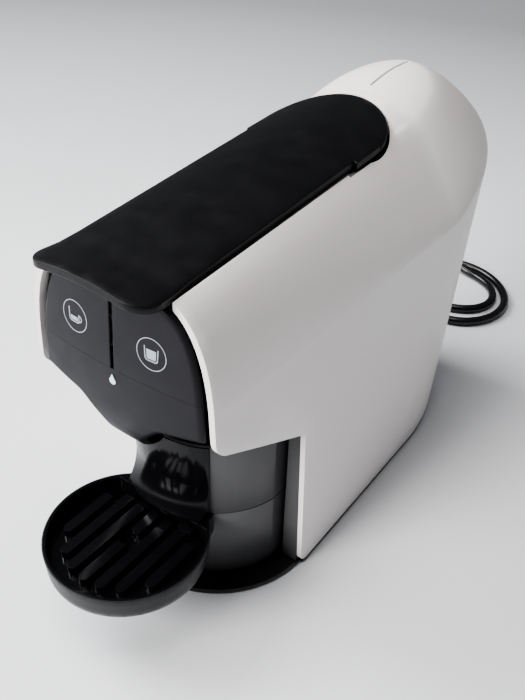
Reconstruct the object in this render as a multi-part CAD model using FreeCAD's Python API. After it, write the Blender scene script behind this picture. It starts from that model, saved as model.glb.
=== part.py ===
# Pod coffee machine: white hood on a black base, lever lid, two-key front panel,
# round cup tray on a drip drawer, used-capsule container and a rear water tank.
# Millimetres. +X is the machine's right side, -Y its front, +Z up; Z = 0 is the table.
import FreeCAD
import Part
import math
import os

V = FreeCAD.Vector
UP = V(0, 0, 1)

# ---- driving sizes -------------------------------------------------------------------
LENGTH = 375.8                      # front of the cup tray to the back of the hood
TRAY_R = 46.0                       # cup tray radius
TRAY_Y = -LENGTH / 2 + TRAY_R       # axis of the cup tray; lengths below count from it
TRAY_TOP = 54.7
TRAY_BASE = 41.0
WALL = 3.2                          # hood wall
GAP = 0.3                           # free gap between moving neighbours
HOOD_BOTTOM = 3.0
HEAD_FRONT_Z = 142.5                # lower edge of the hood's head at the rim
HEAD_REAR_Z = 109.0                 # and at the legs


def back(distance):
    """Y of a point this far behind the axis of the cup tray."""
    return TRAY_Y + distance


RIM_Y = back(5.5)                   # front rim of the hood
LEG_Y = back(77.0)                  # front edge of the hood's legs
BEND_Y = back(215.7)                # where the hood starts to round off to the rear
REAR_DEPTH = 102.7                  # depth of that rounded end at table height
REAR_RISE = 0.26                    # slope of the rounded end's crown
BELOW = 40.0                        # length of the hood form under the table, cut off later

# cross-section of the hood: crown arc, curved shoulder, leaning wall
FRONT_SECTION = dict(crown=224.5, arc_x=32.0, arc_z=219.8, wall_x=58.3, wall_z=165.0, foot_x=67.0, pull=0.65)
REAR_SECTION = dict(crown=242.9, arc_x=32.8, arc_z=233.3, wall_x=70.0, wall_z=177.7, foot_x=63.0, pull=0.256)

LID_HALF = 34.3                     # half width of the lid's lever part
LID_REAR_HALF = 36.4                # half width of its rear part
LID_THICK = 3.8
LID_FRONT = -13.5
LID_STEP = 151.0                    # where the lid widens
LID_CENTRE = 172.0                  # centre of the lid's round rear end
OPEN_HALF = 36.0                    # half width of the hood's lid opening
OPEN_REAR_HALF = 37.2               # the same behind the step
HINGE_AT = 154.0
HINGE_Y = back(HINGE_AT)
HINGE_Z = 221.0
PIN_R = 2.0

COLUMN_Y = back(80.5)               # centre of the column's round front
COLUMN_R = 49.6
COLUMN_HALF = 48.6
COLUMN_BACK = back(134.0)
DRAWER_BOTTOM = 5.2
CONTAINER_TOP = 105.0
BAY_HALF = 51.7
BAY_TOP = 107.0
BAY_BACK = back(138.5)
BASE_R = 63.5
BASE_TOP = 4.0
FOOT_Z = 1.2

SEAM_Z = 168.5                      # lower end of the two keys
KEY_GAP = 1.9                       # groove between the two keys
PANEL_INSET = 6.9
FRAME_INSET = 3.5
PANEL_THICK = 3.0

TANK_HALF = 40.0
TANK_FRONT = back(238.0)
TANK_BOTTOM = 14.0
TANK_TOP = 187.0

BREW_Z = 170.0                      # height of the capsule's axis
CRANK = 34.0                        # lever arm that drives the capsule holder
CRANK_LEAN = math.radians(30)

CORD_R = 3.5
FLOOR_CORD_Z = 3.6


# ---- helpers -------------------------------------------------------------------------
def box(x0, x1, y0, y1, z0, z1):
    return Part.makeBox(x1 - x0, y1 - y0, z1 - z0, V(x0, y0, z0))


def rod(radius, start, end):
    line = end - start
    return Part.makeCylinder(radius, line.Length, start, line)


def mirrored(shape):
    return shape.mirror(V(0, 0, 0), V(1, 0, 0))


def both_sides(shape):
    return Part.makeCompound([shape, mirrored(shape)])


def rounded_wire(corners, place):
    """Closed outline of (a, b, radius) corners; place turns a, b into a point."""
    edges = []
    count = len(corners)
    starts = []
    ends = []
    for i, (a, b, radius) in enumerate(corners):
        here = V(a, b, 0)
        before = V(corners[i - 1][0], corners[i - 1][1], 0)
        after = V(corners[(i + 1) % count][0], corners[(i + 1) % count][1], 0)
        towards = (before - here).normalize()
        away = (after - here).normalize()
        if radius == 0:
            starts.append(here)
            ends.append(here)
            continue
        half = towards.getAngle(away) / 2
        reach = radius / math.tan(half)
        middle = (towards + away).normalize()
        mid_point = here + middle * (radius / math.sin(half) - radius)
        starts.append(here + towards * reach)
        ends.append(here + away * reach)
        edges.append((i, Part.Arc(place(starts[i]), place(mid_point), place(ends[i])).toShape()))
    arcs = dict(edges)
    ordered = []
    for i in range(count):
        if i in arcs:
            ordered.append(arcs[i])
        following = (i + 1) % count
        if (ends[i] - starts[following]).Length > 1e-6:
            ordered.append(Part.makeLine(place(ends[i]), place(starts[following])))
    return Part.Wire(ordered)


def side_prism(corners, x0, x1):
    """Outline in Y, Z pushed along X."""
    wire = rounded_wire(corners, lambda p: V(x0, p.x, p.y))
    return Part.Face(wire).extrude(V(x1 - x0, 0, 0))


def plan_prism(corners, z0, z1):
    """Outline in X, Y pushed along Z."""
    wire = rounded_wire(corners, lambda p: V(p.x, p.y, z0))
    return Part.Face(wire).extrude(V(0, 0, z1 - z0))


def front_prism(corners, y0, y1):
    """Outline in X, Z pushed along Y."""
    wire = rounded_wire(corners, lambda p: V(p.x, y0, p.y))
    return Part.Face(wire).extrude(V(0, y1 - y0, 0))


def tube_path(points):
    """Straight runs joined by arcs of 0.45 of the shorter run; returns wire and radii."""
    edges = []
    radii = []
    last = points[0]
    for i in range(1, len(points) - 1):
        here = points[i]
        towards = points[i - 1] - here
        away = points[i + 1] - here
        turn = math.pi - towards.getAngle(away)
        shorter = min(towards.Length, away.Length)
        radius = 0.45 * shorter / math.tan(turn / 2)
        reach = 0.45 * shorter
        towards.normalize()
        away.normalize()
        start = here + towards * reach
        end = here + away * reach
        middle = (towards + away).normalize()
        half = (math.pi - turn) / 2
        mid_point = here + middle * (radius / math.sin(half) - radius)
        edges.append(Part.LineSegment(last, start).toShape())
        edges.append(Part.Arc(start, mid_point, end).toShape())
        radii.append(round(radius, 1))
        last = end
    edges.append(Part.LineSegment(last, points[-1]).toShape())
    return Part.Wire(edges), radii


def tube(points, radius, bore=0.0):
    path, radii = tube_path(points)
    direction = points[1] - points[0]
    solid = path.makePipeShell([Part.Wire(Part.makeCircle(radius, points[0], direction))], True, False)
    if bore:
        hole = path.makePipeShell([Part.Wire(Part.makeCircle(bore, points[0], direction))], True, False)
        solid = solid.cut(hole)
    return solid, path.Length, radii


def save(name, shape):
    solids = shape.Solids
    volume = sum(s.Volume for s in solids)
    print(f"{name:20s} solids {len(solids)} volume {volume:10.0f} valid {shape.isValid()}")
    shape = solids[0] if len(solids) == 1 else Part.makeCompound(solids)
    shape.exportStep(f"parts/{name}.step")


# ---- the hood's form -----------------------------------------------------------------
def section_at(y):
    """Section sizes between the front and the rear section, in proportion."""
    share = (y - RIM_Y) / (BEND_Y - RIM_Y)
    return {key: FRONT_SECTION[key] * (1 - share) + REAR_SECTION[key] * share for key in FRONT_SECTION}


def half_outline(size, inset):
    """Crown, shoulder and wall of one side, with the wall inset by a thickness."""
    crown = size["crown"] - inset
    arc_x = size["arc_x"] - 0.4 * inset
    arc_z = size["arc_z"] - inset
    wall_x = size["wall_x"] - inset
    wall_z = size["wall_z"] - 0.4 * inset
    foot_x = size["foot_x"] - inset
    drop = crown - arc_z
    radius = (arc_x ** 2 + drop ** 2) / (2 * drop)
    angle = math.asin(arc_x / radius)
    lean = (foot_x - wall_x) / wall_z
    # corner where the crown's tangent meets the wall's line
    slope = math.tan(angle)
    corner_x = (wall_x + lean * (wall_z - arc_z - slope * arc_x)) / (1 - lean * slope)
    corner_z = arc_z - slope * (corner_x - arc_x)
    pull = size["pull"]
    handle_a = (arc_x + (corner_x - arc_x) * pull, arc_z + (corner_z - arc_z) * pull)
    handle_b = (wall_x + (corner_x - wall_x) * pull, wall_z + (corner_z - wall_z) * pull)
    return dict(crown=crown, arc=(arc_x, arc_z), handles=(handle_a, handle_b), wall=(wall_x, wall_z),
                foot=(foot_x + lean * BELOW, -BELOW), radius=radius, angle=angle)


def crown_point(shape, share):
    turn = shape["angle"] * share
    return shape["radius"] * math.sin(turn), shape["crown"] - shape["radius"] * (1 - math.cos(turn))


def section_wire(y, size, inset):
    shape = half_outline(size, inset)

    def at(point, side):
        return V(side * point[0], y, point[1])

    def shoulder(side):
        curve = Part.BezierCurve()
        poles = [shape["arc"], shape["handles"][0], shape["handles"][1], shape["wall"]]
        if side < 0:
            poles.reverse()
        curve.setPoles([at(p, side) for p in poles])
        return curve.toShape()

    edges = [
        Part.Arc(at(shape["arc"], -1), V(0, y, shape["crown"]), at(shape["arc"], 1)).toShape(),
        shoulder(1),
        Part.makeLine(at(shape["wall"], 1), at(shape["foot"], 1)),
        Part.makeLine(at(shape["foot"], 1), at(shape["foot"], -1)),
        Part.makeLine(at(shape["foot"], -1), at(shape["wall"], -1)),
        shoulder(-1),
    ]
    return Part.Wire(edges)


def rounded_rear(inset):
    """Half turn of the rear section about an upright axis, stretched to the rear depth."""
    shape = half_outline(REAR_SECTION, inset)

    def at(point):
        return V(point[0], BEND_Y, point[1])

    top = (0.0, shape["crown"])
    low = (0.0, -BELOW)
    curve = Part.BezierCurve()
    curve.setPoles([at(p) for p in (shape["arc"], shape["handles"][0], shape["handles"][1], shape["wall"])])
    profile = Part.Wire([
        Part.Arc(at(top), at(crown_point(shape, 0.5)), at(shape["arc"])).toShape(),
        curve.toShape(),
        Part.makeLine(at(shape["wall"]), at(shape["foot"])),
        Part.makeLine(at(shape["foot"]), at(low)),
        Part.makeLine(at(low), at(top)),
    ])
    dome = Part.Face(profile).revolve(V(0, BEND_Y, 0), UP, 180)
    stretch = (REAR_DEPTH - inset) / (REAR_SECTION["foot_x"] - inset)
    matrix = FreeCAD.Matrix()
    matrix.A22 = stretch
    matrix.A24 = BEND_Y * (1 - stretch)
    matrix.A32 = REAR_RISE * stretch
    matrix.A34 = -REAR_RISE * stretch * BEND_Y
    return dome.transformGeometry(matrix)


def hood_form(inset):
    """The whole closed form of the hood, standing down through the table."""
    front = section_wire(RIM_Y, FRONT_SECTION, inset)
    bend = section_wire(BEND_Y, REAR_SECTION, inset)
    body = Part.makeLoft([front, bend], True, True)
    return body.fuse(rounded_rear(inset))


def side_outline():
    """Side view kept of the hood: raised head in front, legs behind it."""
    return side_prism([
        (RIM_Y, 300, 0),
        (RIM_Y, HEAD_FRONT_Z, 12),
        (LEG_Y - 1.0, HEAD_REAR_Z, 5),
        (LEG_Y + 1.5, HOOD_BOTTOM, 6),
        (250, HOOD_BOTTOM, 0),
        (250, 300, 0),
    ], -90, 90)


def lid_opening():
    """Plan of the lid's opening: straight sides, a step and a round rear end."""
    centre = back(LID_CENTRE)
    lever = box(-OPEN_HALF, OPEN_HALF, back(-30), centre, 150, 290)
    rear = box(-OPEN_REAR_HALF, OPEN_REAR_HALF, back(LID_STEP - 7.5), centre, 150, 290)
    end = Part.makeCylinder(OPEN_REAR_HALF + 0.8, 140, V(0, centre, 150))
    return lever.fuse(rear).fuse(end)


def make_hood(outer, inner):
    hood = outer.cut(inner).common(side_outline())
    hood = hood.cut(lid_opening())
    window = TANK_HALF + 0.8
    hood = hood.cut(front_prism([
        (-window, TANK_BOTTOM - 2.5, 2),
        (window, TANK_BOTTOM - 2.5, 2),
        (window, TANK_TOP + 2, 2),
        (-window, TANK_TOP + 2, 2),
    ], back(250), 250))
    slot_half = 0.8
    hood = hood.cut(box(-slot_half, slot_half, back(223), back(269), 230, 260))
    return hood.cut(rod(GLAND_R, V(GLAND_X, back(262), GLAND_Z), V(GLAND_X, back(305), GLAND_Z)))


# ---- base ----------------------------------------------------------------------------
BASE_SCREWS = [(56.4, 100.0), (56.4, 133.0)]
FEET = [(46.0, 62.0), (50.0, 255.0)]
FOOT_R = 7.5


def make_base(outer):
    footprint = outer.common(box(-90, 90, COLUMN_Y, 250, FOOT_Z, HOOD_BOTTOM - GAP))
    disc = Part.makeCylinder(BASE_R, BASE_TOP - FOOT_Z, V(0, COLUMN_Y, FOOT_Z))
    disc = disc.cut(box(-90, 90, LEG_Y - 1.5, 250, FOOT_Z, 20))
    lip = Part.makeCylinder(BASE_R, 0.8, V(0, COLUMN_Y, BASE_TOP))
    lip = lip.cut(Part.makeCylinder(BASE_R - 1.6, 3, V(0, COLUMN_Y, BASE_TOP - 1)))
    lip = lip.cut(box(-90, 90, LEG_Y - 1.5, 250, 0, 20))
    centre = Part.makeCylinder(BASE_R, HOOD_BOTTOM - GAP - FOOT_Z, V(0, COLUMN_Y, FOOT_Z))
    base = footprint.fuse(disc).fuse(centre).fuse(lip)
    for x, distance in BASE_SCREWS:
        for side in (-1, 1):
            spot = V(side * x, back(distance), 0)
            base = base.cut(Part.makeCylinder(1.7, 10, spot))
    return base.removeSplitter()


def make_feet():
    feet = []
    for x, distance in FEET:
        for side in (-1, 1):
            feet.append(Part.makeCylinder(FOOT_R, FOOT_Z, V(side * x, back(distance), 0)))
    return Part.makeCompound(feet)


def make_base_screws():
    screws = []
    for x, distance in BASE_SCREWS:
        for side in (-1, 1):
            spot = V(side * x, back(distance), 0)
            head = Part.makeCylinder(3.2, FOOT_Z - 0.3, spot + V(0, 0, 0.3))
            shank = Part.makeCylinder(1.4, 14, spot + V(0, 0, FOOT_Z))
            screws.append(head.fuse(shank))
    return Part.makeCompound(screws)


FRAME_WALL = 2.5


def make_column_frame(fit_form):
    """Bay for the drawer and the container, with a shelf for the heater behind it."""
    wall = FRAME_WALL
    low = HOOD_BOTTOM
    side = box(BAY_HALF, BAY_HALF + wall, LEG_Y + 1, BAY_BACK + wall, low, BAY_TOP + wall)
    flange = box(BAY_HALF, 66, LEG_Y + 1, LEG_Y + 1 + wall, low, BAY_TOP + wall)
    rear = box(-BAY_HALF - 1, BAY_HALF + 1, BAY_BACK, BAY_BACK + wall, low, BAY_TOP + wall)
    roof = box(-BAY_HALF - 1, BAY_HALF + 1, LEG_Y + 1, BAY_BACK + wall, BAY_TOP, BAY_TOP + wall)
    shelf = box(-34, 34, BAY_BACK, back(210), BAY_TOP, BAY_TOP + wall)
    hose_notch = box(-32, -14, BAY_BACK + wall, back(170), BAY_TOP - 1, BAY_TOP + 5)
    roof = roof.fuse(shelf).cut(hose_notch)
    drop_hole = box(-21, 21, back(80.5), back(112), BAY_TOP - 1, BAY_TOP + 5)
    frame = side.fuse(mirrored(side)).fuse(flange).fuse(mirrored(flange)).fuse(rear).fuse(roof).cut(drop_hole)
    for x, distance in BASE_SCREWS:
        for sign in (-1, 1):
            spot = V(sign * x, back(distance), low)
            boss = Part.makeCylinder(4, 16, spot).cut(Part.makeCylinder(1.5, 14, spot))
            frame = frame.fuse(boss)
    return frame.common(fit_form).removeSplitter()


def make_head_floor(fit_form):
    """Sloping floor under the head, from the nose back to the bay."""
    thick = 2.4
    lift = 1.2
    slope = (HEAD_FRONT_Z - HEAD_REAR_Z) / (LEG_Y - RIM_Y)
    near = back(27)
    far = LEG_Y + 0.5
    near_z = HEAD_FRONT_Z - slope * (near - RIM_Y) + lift
    far_z = HEAD_REAR_Z + lift + 0.6
    plate = side_prism([(near, near_z, 0), (far, far_z, 0), (far, far_z + thick, 0), (near, near_z + thick, 0)],
                       -64, 64)
    return plate.common(fit_form)


# ---- column: drawer, container, cup tray ---------------------------------------------
def column_plan(shrink, z0, z1):
    """Flat sides with a round front, a little under a half turn."""
    half = COLUMN_HALF - shrink
    round_front = Part.makeCylinder(COLUMN_R - shrink, z1 - z0, V(0, COLUMN_Y, z0))
    body = round_front.fuse(box(-90, 90, COLUMN_Y, COLUMN_BACK - shrink, z0, z1))
    return body.common(box(-half, half, back(20), COLUMN_BACK - shrink, z0, z1))


def make_drawer():
    wall = 2.2
    drawer = column_plan(0, DRAWER_BOTTOM, TRAY_TOP)
    drawer = drawer.cut(column_plan(wall, DRAWER_BOTTOM + wall, TRAY_TOP + 5))
    return drawer.cut(box(-10, 10, back(28), back(40), DRAIN_Z0, DRAIN_Z1)).removeSplitter()


DRAIN_Z0 = TRAY_BASE + 2.4
DRAIN_Z1 = DRAIN_Z0 + 4.0


def make_cup_tray():
    wall = 2.4
    flare = Part.makeCone(TRAY_R - 1.0, TRAY_R, TRAY_TOP - TRAY_BASE, V(0, TRAY_Y, TRAY_BASE))
    neck = plan_prism([
        (-30.5, back(34), 0),
        (30.5, back(34), 0),
        (27.6, back(44), 0),
        (-27.6, back(44), 0),
    ], TRAY_BASE, TRAY_TOP)
    hollow = Part.makeCylinder(TRAY_R - wall, 30, V(0, TRAY_Y, TRAY_BASE + wall))
    hollow = hollow.cut(box(-60, 60, back(28.5), back(60), 0, 90))
    tray = flare.fuse(neck).cut(hollow)
    column = Part.makeCylinder(COLUMN_R, 90, V(0, COLUMN_Y, 0))
    drain = box(-10, 10, back(20), back(40), DRAIN_Z0, DRAIN_Z1)
    return tray.cut(column).cut(drain).removeSplitter()


RIB_PITCH = 10.3
RIB_WIDTH = 6.2
RIB_REACH = 35.5
RIB_TOP = 50.6
RIB_BASE = TRAY_BASE + 2.4 + 0.2
GRID_R = 41.5
GRID_BACK = 26.0
DRAIN_R = 5.5


def make_drip_grid():
    """Ribbed disc in the bowl: seven ridges, a drain hole and a lifting tab."""
    plate_top = RIB_BASE + 1.8
    half = RIB_WIDTH / 2
    grid = Part.makeCylinder(GRID_R, plate_top - RIB_BASE, V(0, TRAY_Y, RIB_BASE))
    grid = grid.common(box(-60, 60, back(-60), back(GRID_BACK), 0, 90))
    for step in range(-3, 4):
        x = step * RIB_PITCH
        reach = math.sqrt(RIB_REACH ** 2 - x ** 2)
        end = min(GRID_BACK - 2.5, reach)
        rib = box(x - half, x + half, back(-reach + half), back(end), RIB_BASE, RIB_TOP)
        rib = rib.fuse(Part.makeCylinder(half, RIB_TOP - RIB_BASE, V(x, back(-reach + half), RIB_BASE)))
        grid = grid.fuse(rib)
    tab = box(17.5, 26.5, back(GRID_BACK - 3.5), back(GRID_BACK), RIB_BASE, RIB_TOP + 2.4)
    drain = Part.makeCylinder(DRAIN_R, 30, V(0, back(1), RIB_BASE - 1))
    return grid.fuse(tab).cut(drain).removeSplitter()


def make_container():
    wall = 2.0
    low = TRAY_TOP + GAP
    container = column_plan(0.2, low, CONTAINER_TOP)
    container = container.cut(column_plan(wall, low + wall, CONTAINER_TOP + 5))
    return container.removeSplitter()


def make_container_front():
    """Glossy plate on the middle of the container's front, flared out at its foot."""
    low = TRAY_TOP + GAP + 0.4
    bend_z = 78.0
    face = COLUMN_R + 0.8
    flare = 7.0
    back_r = COLUMN_R - 0.2

    def at(radius, z):
        return V(radius, COLUMN_Y, z)

    profile = Part.Wire([
        Part.makeLine(at(back_r, low), at(face + flare, low)),
        Part.Arc(at(face + flare, low), at(face + 0.27 * flare, low + 0.42 * (bend_z - low)), at(face, bend_z)).toShape(),
        Part.makeLine(at(face, bend_z), at(face, CONTAINER_TOP)),
        Part.makeLine(at(face, CONTAINER_TOP), at(back_r, CONTAINER_TOP)),
        Part.makeLine(at(back_r, CONTAINER_TOP), at(back_r, low)),
    ])
    ring = Part.Face(profile).revolve(V(0, COLUMN_Y, 0), UP, 360)
    return ring.common(box(-27.2, 27.2, back(20), back(60), low, CONTAINER_TOP))


# ---- front panel ---------------------------------------------------------------------
PANEL_CROWN = 378.0                 # plan radius of the panel's face
PANEL_SWEEP = 10.0                  # degrees of that arc to each side


def panel_band(front_shift, thick):
    """Side view of the panel's skin, swept round a wide upright arc so that its sides fall back."""
    front = [(4.2, 217.0), (0.8, 168.0), (0.6, 142.0), (4.5, 122.0), (14.0, 114.0), (25.0, 111.0)]
    outer = [(back(d + front_shift), z, 0) for d, z in front]
    rear = [(back(d + front_shift + thick), z + lift, 0)
            for (d, z), lift in zip(front, (0, 0, 0, thick * 0.6, thick, thick))]
    corners = outer + rear[::-1]
    corners[2] = (corners[2][0], corners[2][1], 30)
    corners[3] = (corners[3][0], corners[3][1], 8)
    middle = V(0, back(0) + PANEL_CROWN, 0)
    profile = Part.Face(rounded_wire(corners, lambda p: V(0, p.x, p.y)))
    profile.rotate(middle, UP, -PANEL_SWEEP)
    return profile.revolve(middle, UP, 2 * PANEL_SWEEP)


def panel_outline():
    """Front view: hood section inside the rim, closed below by the V and the nose."""
    section = Part.Face(section_wire(RIM_Y - 20, section_at(RIM_Y), PANEL_INSET)).extrude(V(0, 60, 0))
    low = front_prism([
        (-70, 150.5, 0),
        (-26, 140.4, 12),
        (-14, 128.0, 10),
        (-8.5, 110.0, 7.5),
        (8.5, 110.0, 7.5),
        (14, 128.0, 10),
        (26, 140.4, 12),
        (70, 150.5, 0),
        (70, 217.0, 0),
        (-70, 217.0, 0),
    ], RIM_Y - 20, RIM_Y + 40)
    return section.common(low)


KEY_BARREL_R = 1.3
KEY_AXIS_Y = back(4.6)
KEY_AXIS_Z = SEAM_Z + 1.9


def make_panel_parts():
    skin = panel_band(0, PANEL_THICK).common(panel_outline())
    upper = box(-90, 90, RIM_Y - 30, RIM_Y + 50, SEAM_Z + GAP, 260)
    fascia = skin.common(box(-90, 90, RIM_Y - 30, RIM_Y + 50, 60, SEAM_Z))
    keys = skin.common(upper)
    left = keys.common(box(-90, -KEY_GAP / 2, RIM_Y - 30, RIM_Y + 50, 60, 260))
    right = keys.common(box(KEY_GAP / 2, 90, RIM_Y - 30, RIM_Y + 50, 60, 260))
    lens = make_indicator()
    fascia = fascia.cut(lens)
    for x in SPOUT_X:
        fascia = fascia.cut(rod(SPOUT_BORE, V(x, SPOUT_Y, 100), V(x, SPOUT_Y, 130)))
    barrel = rod(KEY_BARREL_R, V(6, KEY_AXIS_Y, KEY_AXIS_Z), V(36, KEY_AXIS_Y, KEY_AXIS_Z))
    right = right.fuse(barrel)
    left = left.fuse(mirrored(barrel))
    for side in (-1, 1):
        fascia = fascia.fuse(box(side * 13 - 3, side * 13 + 3, back(2.5), back(6.6), 143, 148))
        rib = box(min(side * 20, side * 28), max(side * 20, side * 28), back(4.5), back(9.0), 186, 194)
        if side < 0:
            left = left.fuse(rib)
        else:
            right = right.fuse(rib)
    return fascia, left.removeSplitter(), right.removeSplitter(), lens


def make_indicator():
    """Drop-shaped light pipe below the groove."""
    z = 162.3
    lens = rod(2.0, V(0, back(0.4), z - 1), V(0, back(6), z - 1))
    tip = front_prism([(-1.9, z - 0.6, 0), (1.9, z - 0.6, 0), (0, z + 3.2, 0)], back(0.4), back(6))
    return lens.fuse(tip).removeSplitter()


def make_panel_frame(rear_of_panel):
    """Glossy black frame between the panel and the hood's rim."""
    front = back(6.6)
    depth = 9.0
    size = section_at(RIM_Y)
    ring = Part.Face(section_wire(front, size, FRAME_INSET)).extrude(V(0, depth, 0))
    hole = Part.Face(section_wire(front - 1, size, 13.0)).extrude(V(0, depth + 2, 0))
    ring = ring.cut(hole)
    ring = ring.common(box(-90, 90, front, front + depth, 149, 214))
    ledge_top = 149.0
    ledge = front_prism([
        (-54, 149.0, 0),
        (-22, 141.0, 0),
        (22, 141.0, 0),
        (54, 149.0, 0),
        (54, ledge_top + 3, 0),
        (-54, ledge_top + 3, 0),
    ], front, front + depth)
    ring = ring.cut(box(-37.5, 37.5, front - 1, front + depth + 1, 206.5, 260))
    post = box(42, 46.5, front + depth - 4, back(23.6), 180, 192)
    return ring.fuse(ledge).fuse(post).fuse(mirrored(post)).cut(rear_of_panel).removeSplitter()


SPOUT_X = (-5.5, 5.5)
SPOUT_Y = back(12.5)
SPOUT_R = 3.6
SPOUT_BORE = 2.2
SPOUT_END = 123.2


def make_spout():
    """Twin outlet under the nose, above the middle of the cup tray."""
    spout = box(-9.5, 9.5, back(9.0), back(19.0), 124.5, 136.5)
    for x in SPOUT_X:
        spout = spout.fuse(rod(SPOUT_R, V(x, SPOUT_Y, SPOUT_END), V(x, SPOUT_Y, 125)))
    for x in SPOUT_X:
        spout = spout.cut(rod(SPOUT_BORE, V(x, SPOUT_Y, 105), V(x, SPOUT_Y, 140)))
    return spout.removeSplitter()


def make_switch_board():
    return box(-47, 47, back(23.6), back(25.2), 178, 200)


def make_switches():
    body = box(18, 30, back(13.6), back(23.6), 184, 196)
    stem = rod(1.6, V(24, back(10.0), 190), V(24, back(13.6), 190))
    return both_sides(body.fuse(stem))


# ---- lid and its seat ----------------------------------------------------------------
def lid_edge_z(distance):
    return 219.6 + 0.070 * distance


def lid_crown_z(distance):
    return 224.6 + 0.084 * distance


def lid_band(distance, lift, half):
    """Upright slice through the lid: two arcs one lid thickness apart."""
    y = back(distance)
    edge = lid_edge_z(distance) + lift
    crown = lid_crown_z(distance) + lift
    top = Part.Arc(V(-half, y, edge), V(0, y, crown), V(half, y, edge)).toShape()
    right = Part.makeLine(V(half, y, edge), V(half, y, edge - LID_THICK))
    low = Part.Arc(V(half, y, edge - LID_THICK), V(0, y, crown - LID_THICK), V(-half, y, edge - LID_THICK)).toShape()
    left = Part.makeLine(V(-half, y, edge - LID_THICK), V(-half, y, edge))
    return Part.Wire([top, right, low, left])


def make_lid():
    wide = 38.0
    corner = 12.0
    flare = 2.3
    lip_lift = 2.6
    slices = [lid_band(LID_FRONT, lip_lift, wide), lid_band(8.0, 0.0, wide), lid_band(212.0, 0.0, wide)]
    plate = Part.makeLoft(slices, True, True)
    lever = plan_prism([
        (-LID_HALF - flare, back(LID_FRONT), corner),
        (LID_HALF + flare, back(LID_FRONT), corner),
        (LID_HALF, back(20), 0),
        (LID_HALF, back(LID_CENTRE), 0),
        (-LID_HALF, back(LID_CENTRE), 0),
        (-LID_HALF, back(20), 0),
    ], 190, 280)
    rear = box(-LID_REAR_HALF, LID_REAR_HALF, back(LID_STEP), back(LID_CENTRE), 190, 280)
    end = Part.makeCylinder(LID_REAR_HALF, 90, V(0, back(LID_CENTRE), 190))
    lid = plate.common(lever.fuse(rear).fuse(end))
    ear = rod(6.0, V(30.4, HINGE_Y, HINGE_Z), V(33.4, HINGE_Y, HINGE_Z))
    ear = ear.fuse(box(30.4, 33.4, HINGE_Y - 6, HINGE_Y + 6, HINGE_Z, lid_edge_z(HINGE_AT) - 1.0))
    ear = ear.cut(rod(PIN_R + 0.06, V(29, HINGE_Y, HINGE_Z), V(35, HINGE_Y, HINGE_Z)))
    return lid.fuse(ear).fuse(mirrored(ear)).removeSplitter()


def crank_end():
    """Pin of the crank with the lid closed."""
    return V(0, HINGE_Y + CRANK * math.sin(CRANK_LEAN), HINGE_Z - CRANK * math.cos(CRANK_LEAN))


def make_crank():
    """Pair of arms under the lid with the pin that drives the capsule holder."""
    end = crank_end()
    thick = 3.0
    arm = rod(5.0, V(20, HINGE_Y, HINGE_Z), V(20 + thick, HINGE_Y, HINGE_Z))
    arm = arm.fuse(rod(5.0, V(20, end.y, end.z), V(20 + thick, end.y, end.z)))
    along = (V(0, HINGE_Y, HINGE_Z) - end).normalize()
    across = V(0, -along.z, along.y)
    quad = [end + across * 4, end - across * 4, end - across * 4 + along * CRANK, end + across * 4 + along * CRANK]
    web = Part.Face(Part.makePolygon([p + V(20, 0, 0) for p in quad + quad[:1]])).extrude(V(thick, 0, 0))
    post = box(20, 20 + thick, HINGE_Y - 4, HINGE_Y + 4, HINGE_Z, 232.0)
    pin = rod(2.5, V(20 + thick, end.y, end.z), V(29.5, end.y, end.z))
    return both_sides(arm.fuse(web).fuse(post).fuse(pin).removeSplitter())


def make_hinge_pins():
    return both_sides(rod(PIN_R, V(29.8, HINGE_Y, HINGE_Z), V(36.9, HINGE_Y, HINGE_Z)))


def make_seat():
    """Satin strip beside the lid, joined under the lip, with the hinge brackets."""
    inner = 31.0
    outer = OPEN_HALF - 0.5
    first = 11.6
    last = LID_STEP - 4.0
    top = LID_THICK + GAP + 0.1
    corners = [
        (back(first), lid_edge_z(first) - top, 0),
        (back(last), lid_edge_z(last) - top, 0),
        (back(last), lid_edge_z(last) - top - 3, 0),
        (back(first), lid_edge_z(first) - top - 3, 0),
    ]
    strip = side_prism(corners, inner, outer)
    cross = box(-inner - 1, inner + 1, back(first), back(first + 2.5), 207, lid_edge_z(first) - top)
    bracket = side_prism([
        (HINGE_Y - 10, lid_edge_z(144) - top - 0.2, 0),
        (HINGE_Y + 6, HINGE_Z + 3.6, 3),
        (HINGE_Y + 6, HINGE_Z - 8, 3),
        (HINGE_Y - 10, HINGE_Z - 8, 0),
    ], 33.9, OPEN_REAR_HALF - 0.5)
    bracket = bracket.cut(rod(PIN_R, V(30, HINGE_Y, HINGE_Z), V(40, HINGE_Y, HINGE_Z)))
    side = strip.fuse(bracket)
    return side.fuse(mirrored(side)).fuse(cross).removeSplitter()


# ---- brewing parts -------------------------------------------------------------------
def make_capsule_holder():
    """Moving cup with two side bars that end in slotted yokes."""
    end = crank_end()
    cup = rod(21.0, V(0, back(76), BREW_Z), V(0, back(103.6), BREW_Z))
    cup = cup.cut(rod(18.2, V(0, back(80), BREW_Z), V(0, back(106), BREW_Z)))
    outlet = rod(5.0, V(0, back(64), BREW_Z), V(0, back(77), BREW_Z))
    yoke_low = end.z - 9
    bar = box(24.4, 27.4, back(80), end.y + 8, BREW_Z - 5, BREW_Z + 5)
    yoke = box(24.4, 27.4, end.y - 9, end.y + 9, BREW_Z - 5, end.z + 9)
    slot = box(20, 30, end.y - 3.4, end.y + 3.4, yoke_low - 2, end.z + 5)
    bridge = box(19.0, 27.4, back(80), back(84), BREW_Z - 5, BREW_Z + 5)
    side = bar.fuse(yoke).cut(slot).fuse(bridge)
    cup = cup.fuse(side).fuse(mirrored(side)).fuse(outlet)
    cup = cup.cut(rod(18.2, V(0, back(80), BREW_Z), V(0, back(106), BREW_Z)))
    return cup.cut(rod(2.5, V(0, back(60), BREW_Z), V(0, back(82), BREW_Z))).removeSplitter()


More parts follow.
